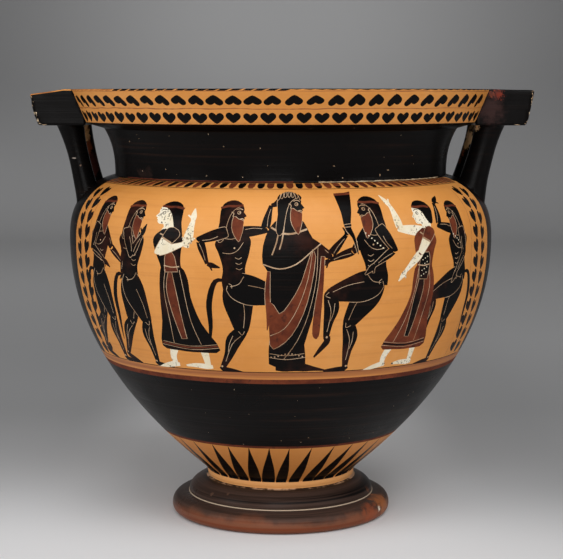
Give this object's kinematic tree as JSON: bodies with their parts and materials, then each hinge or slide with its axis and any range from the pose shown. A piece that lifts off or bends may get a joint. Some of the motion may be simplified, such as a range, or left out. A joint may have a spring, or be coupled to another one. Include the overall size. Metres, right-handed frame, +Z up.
{
  "type": "column krater",
  "caption": "Wide hollow clay mixing bowl on a stepped foot, with an overhanging rim and a plate-topped pair of columns as a handle on each side.",
  "frame": {"origin": "centre of the base, on the plane that the foot's ring stands on", "axes": "+Z up along the wheel axis, handles along X, main picture facing -Y"},
  "size_m": [0.5186, 0.4448, 0.45],
  "materials": {
    "krater": "glossy black slip over orange clay, worn in places"
  },
  "bodies": {
    "root": {"krater": "krater"}
  },
  "joints": []
}
